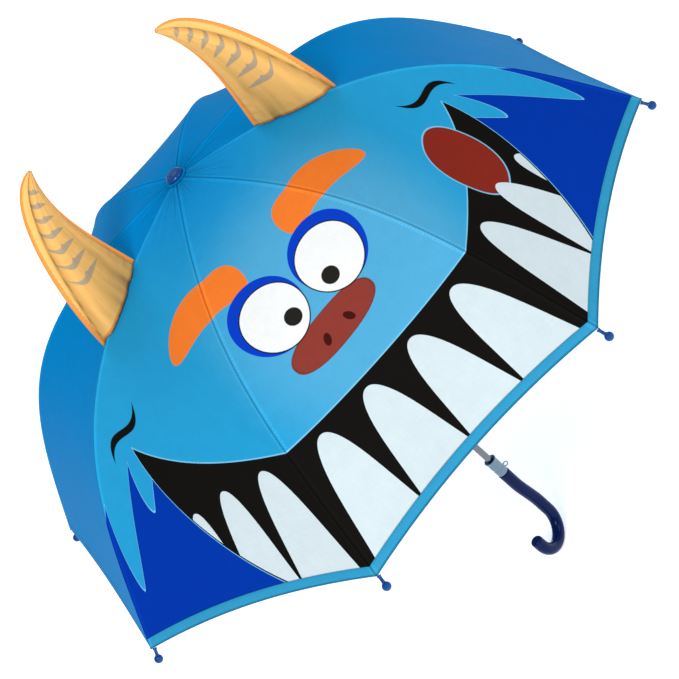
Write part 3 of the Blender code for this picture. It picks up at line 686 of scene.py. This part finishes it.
def wedge(dome, sizes):
    """The cloth from midway on one side of a rib to midway on the other, with its hem turned up.
    Gives points, print places and trim places.  The row at `upper_rows` is at the rib's joint."""
    w = np.array([-a for a in ACROSS[:0:-1]] + list(ACROSS))
    joint = (JOINT_RADIUS, JOINT_Z)
    fits = np.linalg.norm(dome.below(dome.table, sizes.rib_depth) - joint, axis=-1)
    way = dome.way(dome.table[fits.argmin()])
    q_joint = first_at_plane(dome, w, joint, way)
    hem_speed = np.linalg.norm(dome.speed(1.0))
    q_hem = 1 - sizes.hem_rise / hem_speed * (1 - (1 - np.abs(w)) ** 2)
    upper, lower = sizes.upper_rows, sizes.lower_rows
    rows = [q_joint * i / upper for i in range(upper + 1)]
    rows += [q_joint + (q_hem - q_joint) * i / lower for i in range(1, lower + 1)]
    q = np.array(rows)
    w = w + 0 * q
    half = dome.point(q)[..., 0] * math.sin(HALF_PANEL)
    seam = np.abs(w) * half
    inwards = sizes.tension * 4 * q * (1 - q) * (1 - (1 - np.abs(w)) ** 2)
    outwards = dome.outwards(q, w)
    lift = sizes.ridge * bell(seam, 0.0, SEAM_HALF) - inwards
    points = dome.cloth(q, w) + outwards * lift[..., None]
    down = dome.length(q)
    hem = dome.length(q_hem)
    edge_way = points[-1] - points[-2]
    edge_way /= np.linalg.norm(edge_way, axis=-1, keepdims=True)
    extra, places = [], []
    for t in (1 / 3, 2 / 3, 1):
        s, c = math.sin(math.pi * t), math.cos(math.pi * t)
        extra.append(points[-1] + HEM_TURN * (edge_way * s - outwards[-1] * (1 - c)))
        places.append(0.0)
    for back in (1 / 3, 2 / 3, 1):
        extra.append(points[-1] - edge_way * sizes.hem_fold * back - 2 * HEM_TURN * outwards[-1])
        places.append(sizes.hem_fold * back)
    points = np.concatenate([points, extra])
    back = np.array(places)[:, None] + 0 * w[:1]
    down = np.concatenate([down, hem - back])
    edge = hem - down
    w = np.concatenate([w, w[: len(extra)]])
    half = np.concatenate([half, half[-1] + 0 * back])
    fold = np.concatenate([0 * q, 1 + 0 * back])
    seam = np.abs(w) * half
    return points, np.stack([w / 2, down, half], -1), np.stack([edge, seam, fold], -1)


def patch_area(points):
    """Area of a grid of points."""
    a, b = points[1:, :-1] - points[:-1, :-1], points[:-1, 1:] - points[:-1, :-1]
    return float(np.linalg.norm(np.cross(a, b), axis=-1).sum())


class UMBRELLA_OT_canopy(bpy.types.Operator):
    """Sews the printed cloth dome, in an upper and a lower piece for each rib"""

    bl_idname = "umbrella.canopy"
    bl_label = "Canopy"

    def execute(self, context):
        sizes = context.scene.umbrella_canopy
        finish = cloth_finish(context.scene.umbrella_print)
        dome = Dome(sizes)
        points, print_places, trim = wedge(dome, sizes)
        columns = points.shape[1]
        whole = mesh_piece("whole", points, grid_faces(len(points), columns), finish)
        normals = np.array([v.normal for v in whole.data.vertices]).reshape(points.shape)
        bpy.data.objects.remove(whole)
        split = sizes.upper_rows
        for number, angle in enumerate(RIB_ANGLES, 1):
            from_front = (math.degrees(angle) + 90 + 180) % 360 - 180
            middle = np.array([from_front / (360 / RIBS), 0.0, 0.0])
            for part, body, under, rows in (
                ("upper", f"inner_{number}", "inner_rib", slice(0, split + 1)),
                ("lower", f"outer_{number}", "outer_rib", slice(split, None)),
            ):
                here = points[rows]
                name = f"canopy_{part}_{number}"
                faces = grid_faces(len(here), columns)
                piece = mesh_piece(name, turn_about_z(here, angle), faces, finish)
                note(piece, "print", print_places[rows] + middle)
                note(piece, "trim", trim[rows])
                way = turn_about_z(normals[rows], angle).reshape(-1, 3)
                piece.data.normals_split_custom_set_from_vertices([tuple(n) for n in way])
                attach(piece, body)
                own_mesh(piece)
                if part == "upper":
                    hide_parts(f"canopy_panel_{number}")
                run = float(np.ptp(print_places[rows][..., 1]))
                run += sizes.hem_fold if part == "lower" else 0.0
                patch_area(here)
        return {"FINISHED"}


# ---- horns ----
# Along is 0 at a horn's seat and 1 at its tip; across is 0 at the inner edge and 1 at the outer.
FIRST_BAND, BAND_PITCH, BANDS = 0.215, 0.094, 7.0
PIPING = 0.055  # width of the sewn edges, across


def horn_finish(sizes):
    """Woven horn cloth with grey bands, sewn edges, soft wrinkles, and painted shade in its creases
    and on the half turned from the light.
    """
    dye = Finish("horn_cloth")
    along, across, painted_horn_shade = dye.attribute("grain")
    where = dye.position()
    slow = dye.noise(where, 30.0, 3.0)
    streaks = dye.noise(dye.vector(along * 2.2, across * 6.0), 1.0, 2.0)
    thin = dye.noise(where, 420.0, 3.0, 0.6)
    sweep = (across - 0.55).most(0.0)
    dip = 0.16 * (across - 0.32) * (across - 0.32) - 1.5 * sweep * sweep
    lane = (along + dip - FIRST_BAND) / BAND_PITCH
    middle = abs(across - 0.52) / 0.28
    thick = 0.18 * (1 - middle * middle).most(0.0)
    spike = (0.13 - middle).most(0.0)
    marked = (lane - BANDS).inside(0.01) * (0.0 - lane).inside(0.01) * (middle - 1.0).inside(0.05)
    rise = lane.part() - 0.5
    band = ((rise - spike).most(0.0 - rise) - thick).inside(0.05) * marked
    rim = across.least(1 - across)
    piping = (rim - PIPING).inside(0.02)
    seat = (along - 0.018).inside(0.006)
    tint = dye.over(band * 0.78, sizes.cloth, sizes.band)
    tint = dye.over(piping.most(seat) * 0.9, tint, sizes.piping)
    stitch = stitches(along, rim, 0.022, 0.6, PIPING, 0.006, 0.004)
    uneven = (0.91 + 0.16 * streaks) * (0.92 + 0.16 * slow) * (0.95 + 0.10 * thin)
    # painted shade in the creases and on the half turned from the light
    tone = uneven * (1 - 0.22 * stitch) * (1 - painted_horn_shade)
    x, y, z = dye.parts(where)
    weave = dye.weave(x + y, z, HORN_THREAD, 0.000012)
    height = weave + 0.0026 * (slow - 0.5) + 0.0020 * (streaks - 0.5) - 0.0002 * stitch
    return dye.set(
        Base_Color=dye.shaded(tint, tone),
        Roughness=0.58 + 0.12 * slow,
        Normal=dye.bump(height),
        Specular_IOR_Level=0.25,
        Sheen_Weight=0.05,
        Sheen_Roughness=0.5,
    )


def horn_points(dome, sizes):
    """Rows of points round a stuffed two-sided horn, in the rib's plane, and its grain: along,
    across and how much its creases are shaded."""
    rows, columns, clearance = 64, 30, 0.0008
    w = (1 - np.cos(np.linspace(0, math.pi, columns + 1))) / 2
    seat = dome.below(sizes.start + (sizes.end - sizes.start) * w, -clearance)
    lift = np.array([0.0, CROWN_Z])
    tip = np.array(sizes.tip) + lift
    inner = [seat[0], np.array(sizes.back_1) + lift, np.array(sizes.back_2) + lift, tip]
    outer = [seat[-1], np.array(sizes.front_1) + lift, np.array(sizes.front_2) + lift, tip]
    t = np.linspace(0, 1, rows + 1)[:, None] * 0.985
    a, b = bezier(inner, t[:, 0])[:, None], bezier(outer, t[:, 0])[:, None]
    level = w[None, :, None]
    chord = seat[0] + (seat[-1] - seat[0]) * level[0]
    flat = a + (b - a) * level + (1 - t[..., None]) * (seat - chord)
    body = np.clip((w - 0.04) / 0.92, 0, 1)[None]
    puff = np.sin(math.pi * body) ** 0.62 * (1 - t**2.2) ** 0.8
    puff = puff * (0.80 + 0.20 * np.cos(2 * math.pi * t))
    half = sizes.flange / 2 + (sizes.thickness - sizes.flange) / 2 * puff
    sides, painted_horn_shades, w_row = [], [], w[None]
    for side in (1, -1):
        crease_line = 0.62 + 0.30 * (1 - t) ** 1.4
        crease = bell(w_row, crease_line, 0.055) * np.clip((1 - t) / 0.2, 0, 1) ** 0.5
        fold_line = 0.28 - 0.16 * t
        fold = bell(w_row, fold_line, 0.05) * np.clip(1 - t / 0.55, 0, 1) ** 0.7
        gather = np.sin(math.tau * (15 * t + 0.7 * side + 1.5 * w_row))
        rim = bell(np.minimum(w, 1 - w)[None], 0.0, 0.10)
        pleats = np.sin(math.tau * (6.5 * w_row + 0.3 * side)) * np.clip(1 - t / 0.30, 0, 1)
        pleats = pleats * np.clip(t / 0.05, 0, 1)
        relief = 0.0011 * gather * rim * (puff > 0.05) - sizes.crease * crease
        relief = relief - 0.0022 * fold + 0.0009 * pleats * puff
        sides.append(np.maximum(half + relief * np.minimum(puff * 3, 1), sizes.flange / 2))
        # painted shade on the half of each side turned from the light, and painted dark lines along
        # the creases and folds
        turned_away = np.clip((crease_line - w_row) / 0.30, 0, 1)
        turned_away = turned_away * np.clip((w_row - 0.02) / 0.1, 0, 1)
        lines = bell(w_row, crease_line + 0.035, 0.014) * (1 - t) ** 0.3
        lines = lines + 0.8 * bell(w_row, fold_line - 0.03, 0.012) * np.clip(1 - t / 0.5, 0, 1)
        lines = lines + 0.5 * bell(w_row, 0.45 + 0.05 * side, 0.010) * np.clip(1 - t / 0.4, 0, 1)
        shade = 0.34 * crease + 0.22 * fold + 0.12 * np.maximum(-pleats, 0)
        shade = shade + 0.28 * turned_away * (1 - t) ** 0.6 + 0.42 * lines
        painted_horn_shades.append(np.clip(shade, 0, 0.65))
    front = np.stack([flat[..., 0], sides[0], flat[..., 1]], -1)
    back = np.stack([flat[..., 0], -sides[1], flat[..., 1]], -1)[:, ::-1]
    ring = np.concatenate([front, back], axis=1)
    width = np.concatenate([w, w[::-1]])[None] + 0 * t
    painted_horn_shade = np.concatenate([painted_horn_shades[0], painted_horn_shades[1][:, ::-1]], axis=1)
    return ring, np.stack([t + 0 * width, width, painted_horn_shade], -1)


class UMBRELLA_OT_horns(bpy.types.Operator):
    """Stuffs the two padded horns and sews them to their seams"""

    bl_idname = "umbrella.horns"
    bl_label = "Horns"

    def execute(self, context):
        sizes = context.scene.umbrella_horns
        dome = Dome(context.scene.umbrella_canopy)
        finish = horn_finish(sizes)
        for side, number in (("left", 5), ("right", 8)):
            ring, grain = horn_points(dome, sizes)
            rows, around = ring.shape[:2]
            faces = grid_faces(rows, around, closed=True)
            half = around // 2
            for row, flip in ((0, False), (rows - 1, True)):
                for j in range(half - 1):
                    a, b = row * around + j, row * around + around - 1 - j
                    face = (a, a + 1, b - 1, b)
                    faces.append(face[::-1] if flip else face)
            angle = RIB_ANGLES[number - 1]
            piece = mesh_piece(f"padded_horn_{side}", turn_about_z(ring, angle), faces, finish)
            note(piece, "grain", grain)
            weld(piece)
            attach(piece, f"inner_{number}")
            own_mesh(piece)
            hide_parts(f"horn_{side}")
        return {"FINISHED"}


# ---- moulded fittings ----
def plastic_finish(name, tint, roughness, grain=0.00002, gloss=0.09, clear=0.0):
    """Moulded plastic: slight flow marks, fine grain and handling scuffs."""
    mould = Finish(name)
    where = mould.position()
    flow = mould.noise(where, 60.0, 3.0)
    fine = mould.noise(where, 900.0, 2.0)
    scuff = mould.noise(where, 260.0, 4.0, 0.65)
    worn = (0.60 - scuff).inside(0.12)
    return mould.set(
        Base_Color=mould.shaded(tint, 0.92 + 0.16 * flow),
        Roughness=roughness + 0.05 * flow + 0.10 * worn,
        Normal=mould.bump(grain * fine + 0.00004 * flow),
        Specular_IOR_Level=gloss,
        Transmission_Weight=clear,
        IOR=1.46,
    )


class UMBRELLA_OT_crown(bpy.types.Operator):
    """Turns the crown's cap and gathers the cloth rim under it"""

    bl_idname = "umbrella.crown"
    bl_label = "Crown"

    def execute(self, context):
        sizes = context.scene.umbrella_fittings
        gloss = plastic_finish("blue_gloss_plastic", tuple(sizes.blue), 0.12, gloss=0.4)
        low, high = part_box("crown_cap")
        r, z0, z1 = high.x, low.z, high.z
        corners = [(0.0, z0), (r * 0.97, z0), (r, z0 + 0.0003), (r, z0 + 0.0019)]
        corners += [(r * 0.90, z0 + 0.0034), (r * 0.66, z1 - 0.0006), (r * 0.60, z1 - 0.0010)]
        corners += [(r * 0.50, z1 - 0.0009), (r * 0.44, z1), (0.0, z1)]
        cap = turned("crown_button", rounded(corners, 0.0007, 4), 48, gloss)
        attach(cap, "shaft_and_handle")
        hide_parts("crown_cap")

        low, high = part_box("crown_washer")
        cloth = Finish("gathered_rim_cloth")
        where = cloth.position()
        slow = cloth.noise(where, 90.0, 3.0)
        x, y, _ = cloth.parts(where)
        # the rim takes the deeper blue that the canopy uses for its painted shade
        tint = tuple(context.scene.umbrella_print.plain)
        finish = cloth.set(
            Base_Color=cloth.shaded(tint, 0.78 + 0.24 * slow),
            Roughness=0.55 + 0.1 * slow,
            Normal=cloth.bump(cloth.weave(x, y, THREAD, 0.000010) + 0.0005 * slow),
            Specular_IOR_Level=0.006,
        )
        sides, rows, inner = 96, 16, 0.0040
        middle = (low.z + high.z) / 2
        thick = (high.z - low.z) / 2
        points = []
        for i in range(rows):
            t = math.tau * i / rows
            for j in range(sides):
                turn = math.tau * j / sides
                gather = math.cos(16 * turn) * 0.6 + math.cos(9 * turn + 1.3) * 0.4
                outer = high.x * (0.985 + 0.015 * gather)
                centre, reach = (outer + inner) / 2, (outer - inner) / 2
                radius = centre + reach * math.cos(t)
                lift = 0.00022 * gather * max(math.cos(t), 0.0)
                swell = math.copysign(abs(math.sin(t)) ** 0.6, math.sin(t))
                z = middle + thick * 1.1 * swell + lift
                points.append((radius * math.cos(turn), radius * math.sin(turn), z))
        rim = weld(mesh_piece("gathered_rim", points, loop_faces(rows, sides), finish))
        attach(rim, "shaft_and_handle")
        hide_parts("crown_washer")
        return {"FINISHED"}


class UMBRELLA_OT_tips(bpy.types.Operator):
    """Moulds the ball tips on the ribs' ends"""

    bl_idname = "umbrella.tips"
    bl_label = "Rib tips"

    def execute(self, context):
        sizes = context.scene.umbrella_fittings
        canopy = context.scene.umbrella_canopy
        gloss = plastic_finish("blue_tip_plastic", tuple(sizes.blue), 0.10, gloss=0.3)
        dome = Dome(canopy)
        end, way = dome.below(1.0, canopy.rib_depth), dome.way(1.0)
        ball, stem, reach = sizes.tip_ball, sizes.tip_stem, sizes.tip_reach
        neck = math.asin(stem * 1.1 / ball)
        outline = [(0.0, 0.0010), (stem * 0.8, 0.0008), (stem * 1.25, 0.0010)]
        outline += [(stem * 1.3, 0.0019), (stem, 0.0026)]
        outline += [(stem, reach - ball - 0.0018), (stem * 1.05, reach - ball - 0.0004)]
        for i in range(19):
            t = neck + (math.pi - neck) * i / 18
            seam = 0.00007 * bell(t, math.pi / 2, 0.05)
            radius = (ball + seam) * math.sin(t) if i < 18 else 0.0
            outline.append((radius, reach - ball * math.cos(t)))
        sides = 28
        x, y, s = np.moveaxis(turned_points(outline, sides), -1, 0)
        placed = [end[0] + s * way[0] + x * way[1], y, end[1] + s * way[1] - x * way[0]]
        placed = np.stack(placed, -1)
        faces = grid_faces(len(outline), sides, closed=True)
        for number, angle in enumerate(RIB_ANGLES, 1):
            here = turn_about_z(placed, angle)
            tip = weld(mesh_piece(f"ball_tip_{number}", here, faces, gloss))
            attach(tip, f"outer_{number}")
            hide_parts(f"rib_tip_{number}")
        return {"FINISHED"}


COLLAR_GAP = 0.0003  # between the shaft and the collar's sleeve


def crook_path(sizes, top):
    """Centreline of the crook as (the hook's way, height) from the collar's end."""
    path = [(0.0, -sizes.handle_straight * i / 4) for i in range(4)]
    for i in range(21):
        u = i / 20
        lean = -sizes.handle_lean * u * u * (3 - 2 * u)
        path.append((lean, -sizes.handle_straight - sizes.handle_lean_length * u))
    for i in range(49):
        t = math.pi * i / 48
        along = sizes.hook_radius * (1 - math.cos(t)) - sizes.handle_lean
        path.append((along, -sizes.hook_depth - sizes.hook_radius * math.sin(t)))
    last = 2 * sizes.hook_radius - sizes.handle_lean
    path += [(last, -sizes.hook_depth + sizes.hook_return * i / 4) for i in (1, 2, 3, 4)]
    return [(a, top + z) for a, z in path]


class UMBRELLA_OT_handle(bpy.types.Operator):
    """Moulds the crook handle and the collar with its loop"""

    bl_idname = "umbrella.handle"
    bl_label = "Handle and collar"

    def execute(self, context):
        sizes = context.scene.umbrella_fittings
        low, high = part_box("collar")
        bottom, top = low.z, high.z
        radius, sides = sizes.handle_radius, 40
        path = [Vector(p) for p in crook_path(sizes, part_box("handle")[1].z)]
        rings = []

        def ring(centre, way, r):
            square = Vector((-way.y, way.x))
            turns = [math.tau * k / sides for k in range(sides)]
            spots = [(centre + square * r * math.cos(t), r * math.sin(t)) for t in turns]
            rings.append([(spot.x, y, spot.y) for spot, y in spots])

        start_way = (path[1] - path[0]).normalized()
        for step, part in ((0.0, 0.0), (0.0, 0.55), (0.0, 0.90), (0.0002, 0.965), (0.0007, 1.0)):
            ring(path[0] + start_way * step, start_way, radius * part)
        for i in range(1, len(path) - 1):
            ring(path[i], (path[i + 1] - path[i - 1]).normalized(), radius)
        way = (path[-1] - path[-2]).normalized()
        for t in (math.pi / 2 * i / 8 for i in range(8)):
            domed = 0.45 + 0.55 * math.cos(t)
            ring(path[-1] + way * radius * 0.55 * math.sin(t), way, radius * domed)
        for depth, part in ((0.0, 0.42), (0.0004, 0.36), (0.0007, 0.22), (0.0008, 0.0)):
            ring(path[-1] + way * (radius * 0.55 - depth), way, radius * part)
        navy = plastic_finish("navy_gloss_plastic", tuple(sizes.navy), 0.15, gloss=0.15)
        points = turn_about_z(np.array(rings), sizes.hook_angle)
        faces = grid_faces(len(rings), sides, closed=True)
        crook = weld(mesh_piece("crook_handle", points, faces, navy))
        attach(crook, "shaft_and_handle")
        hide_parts("handle")

        grey = plastic_finish("grey_clear_plastic", tuple(sizes.grey), 0.28, gloss=0.25, clear=0.22)
        r, lip = sizes.collar_radius, sizes.collar_lip
        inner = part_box("shaft")[1].x + COLLAR_GAP
        corners = [(inner, bottom), (r * 0.985, bottom), (r, bottom + 0.0004)]
        corners += [(r, bottom + 0.0075), (r * 0.955, bottom + 0.0082)]
        corners += [(r * 0.955, bottom + 0.0094), (r, bottom + 0.0101), (r, top - 0.0036)]
        corners += [(lip, top - 0.0008), (lip, top), (lip - 0.0010, top)]
        corners += [(inner + 0.0008, top - 0.0030), (inner, top - 0.0045), (inner, bottom)]
        sleeve = turned("collar_sleeve", rounded(corners, 0.0004, 4), 48, grey)
        centre = (r + sizes.loop_radius - sizes.loop_wire / 2, bottom + sizes.loop_rise)
        points, around, section = [], 36, 12
        beside = Vector((0.0, 1.0, 0.0))
        for i in range(around):
            turn = math.tau * i / around
            out = Vector((math.cos(turn), 0.0, math.sin(turn)))
            middle = Vector((centre[0], 0.0, centre[1])) + sizes.loop_radius * out
            for t in (math.tau * k / section for k in range(section)):
                points.append(middle + sizes.loop_wire * (math.cos(t) * out + math.sin(t) * beside))
        loop = weld(mesh_piece("collar_loop", points, loop_faces(around, section), grey))
        for piece in (sleeve, loop):
            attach(piece, "shaft_and_handle")
        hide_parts("collar")
        return {"FINISHED"}


# ---- metalwork ----
# the chrome's tint is darker than bright chrome: a painted reflection of dark surroundings
CHROME_PAINTED_DARK, SPRING_STEEL, ZINC = (0.19, 0.195, 0.205), (0.46, 0.46, 0.48), (0.60, 0.61, 0.63)
SATIN_BLACK = (0.022, 0.022, 0.024)


def metal_finish(name, tint, roughness, drawn=0.0, spangle=0.0, wear=0.1):
    """Metal with drawing marks, plating spangle, smudges and small pits."""
    metal = Finish(name)
    where = metal.position()
    x, y, z = metal.parts(where)
    marks = metal.noise(metal.vector(x * 2600, y * 2600, z * 26), 1.0, 2.0)
    smudge = metal.noise(where, 38.0, 3.0)
    crystals = metal.node("TexVoronoi", {"Vector": where, "Scale": 420.0})
    tone = 0.90 + 0.12 * smudge + spangle * (crystals - 0.4) + drawn * (marks - 0.5)
    return metal.set(
        Base_Color=metal.shaded(tint, tone),
        Metallic=1.0,
        Roughness=roughness + wear * smudge + drawn * 0.4 * (marks - 0.5),
        Normal=metal.bump(0.000004 * marks + 0.000003 * crystals),
    )


class UMBRELLA_OT_metalwork(bpy.types.Operator):
    """Gives the shaft, ribs, stretchers, notch, runner and catches their finishes"""

    bl_idname = "umbrella.metalwork"
    bl_label = "Metalwork"

    def execute(self, context):
        # the shaft's chrome carries the painted dark reflection
        chrome = metal_finish("chromed_tube", CHROME_PAINTED_DARK, 0.08, drawn=0.10, wear=0.08)
        spring = metal_finish("spring_wire", SPRING_STEEL, 0.26, drawn=0.20)
        plated = metal_finish("zinc_plated_channel", ZINC, 0.24, drawn=0.15, spangle=0.10)
        black = plastic_finish("black_satin_plastic", SATIN_BLACK, 0.36, grain=0.00003)
        channels = ("inner_rib", "outer_rib", "stretcher")
        kinds = {
            "chrome": (chrome, ["shaft"]),
            "spring_steel": (spring, ["notch_wire", "runner_wire", "top_catch", "bottom_catch"]),
            "black_plastic": (black, ["top_notch", "runner"]),
            "rib_steel": (plated, [f"{kind}_{n}" for kind in channels for n in range(1, RIBS + 1)]),
        }
        for slot, (finish, names) in kinds.items():
            for name in names:
                node = frame["nodes"][name]
                for held in node.material_slots:
                    held.material = finish
        return {"FINISHED"}


# ---- stage ----
class UMBRELLA_OT_stage(bpy.types.Operator):
    """Lays the pale floor and sets the lights and the camera"""

    bl_idname = "umbrella.stage"
    bl_label = "Stage"

    def execute(self, context):
        stage = context.scene.umbrella_studio
        ground = CAD_BOX[0][2] - stage.floor_drop
        half = stage.floor_size / 2
        paper = Finish("studio_paper")
        slow = paper.noise(paper.position(), 3.0, 3.0)
        finish = paper.set(
            Base_Color=paper.shaded(tuple(stage.floor), 0.985 + 0.02 * slow),
            Roughness=0.9,
            Normal=paper.bump(0.0002 * paper.noise(paper.position(), 400.0)),
            Specular_IOR_Level=0.1,
            Emission_Color=(1.0, 1.0, 1.0),
            Emission_Strength=stage.floor_glow,
        )
        corners = [(x * half, y * half, ground) for x, y in ((-1, -1), (1, -1), (1, 1), (-1, 1))]
        floor = mesh_piece("studio_floor", corners, [(0, 1, 2, 3)], finish)

        world = bpy.data.worlds.new("studio_light")
        world.use_nodes = True
        sky = world.node_tree.nodes["Background"]
        sky.inputs["Color"].default_value = (1.0, 1.0, 1.0, 1.0)
        sky.inputs["Strength"].default_value = stage.sky
        context.scene.world = world

        aim = Vector((0.0, 0.0, (CROWN_Z + HEM_Z) / 2))
        for name, spot, power, size in (
            ("key_light", (-0.9, -2.5, 2.3), stage.key, 0.9),
            ("fill_light", (1.9, -2.0, 1.6), stage.fill, 1.8),
            ("back_light", (0.3, 1.5, 2.9), stage.back, 1.4),
        ):
            light = bpy.data.lights.new(name, "AREA")
            light.energy, light.shape, light.size = power, "DISK", size
            item = bpy.data.objects.new(name, light)
            item.location = spot
            item.rotation_euler = (aim - Vector(spot)).to_track_quat("-Z", "Y").to_euler()
            context.collection.objects.link(item)

        camera = bpy.data.cameras.new("studio_camera")
        camera.lens, camera.sensor_width = stage.lens, 36.0
        item = bpy.data.objects.new("studio_camera", camera)
        turn = Vector(stage.camera_turn)
        looking = Matrix.Rotation(turn.length, 3, turn.normalized())
        right, down, forward = looking
        columns = Matrix((right, -down, -forward)).transposed().to_4x4()
        item.matrix_world = Matrix.Translation(Vector(stage.camera_place)) @ columns
        context.collection.objects.link(item)
        context.scene.camera = item
        context.scene.view_settings.view_transform = "Standard"
        return {"FINISHED"}


# ---- add-on ----
GROUPS = {
    "umbrella_canopy": CanopySizes,
    "umbrella_print": PrintColours,
    "umbrella_horns": HornSizes,
    "umbrella_fittings": FittingSizes,
    "umbrella_studio": StudioSettings,
}
STEPS = (
    UMBRELLA_OT_canopy,
    UMBRELLA_OT_horns,
    UMBRELLA_OT_crown,
    UMBRELLA_OT_tips,
    UMBRELLA_OT_handle,
    UMBRELLA_OT_metalwork,
    UMBRELLA_OT_stage,
)


class UMBRELLA_PT_looks(bpy.types.Panel):
    """Lists the umbrella's sizes, colours and steps"""

    bl_label = "Umbrella"
    bl_idname = "UMBRELLA_PT_looks"
    bl_space_type = "VIEW_3D"
    bl_region_type = "UI"
    bl_category = "Umbrella"

    def draw(self, context):
        for step in STEPS:
            self.layout.operator(step.bl_idname)
        for name, group in GROUPS.items():
            column = self.layout.box().column()
            column.label(text=group.__doc__)
            for key in group.__annotations__:
                column.prop(getattr(context.scene, name), key)


def register():
    for group in (*GROUPS.values(), *STEPS, UMBRELLA_PT_looks):
        bpy.utils.register_class(group)
    for name, group in GROUPS.items():
        setattr(bpy.types.Scene, name, bpy.props.PointerProperty(type=group))


def unregister():
    for name in GROUPS:
        delattr(bpy.types.Scene, name)
    for group in reversed((*GROUPS.values(), *STEPS, UMBRELLA_PT_looks)):
        bpy.utils.unregister_class(group)


def main():
    """Runs every step in order."""
    register()
    for step in STEPS:
        getattr(bpy.ops.umbrella, step.bl_idname.split(".")[1])()


if __name__ == "__main__":
    main()
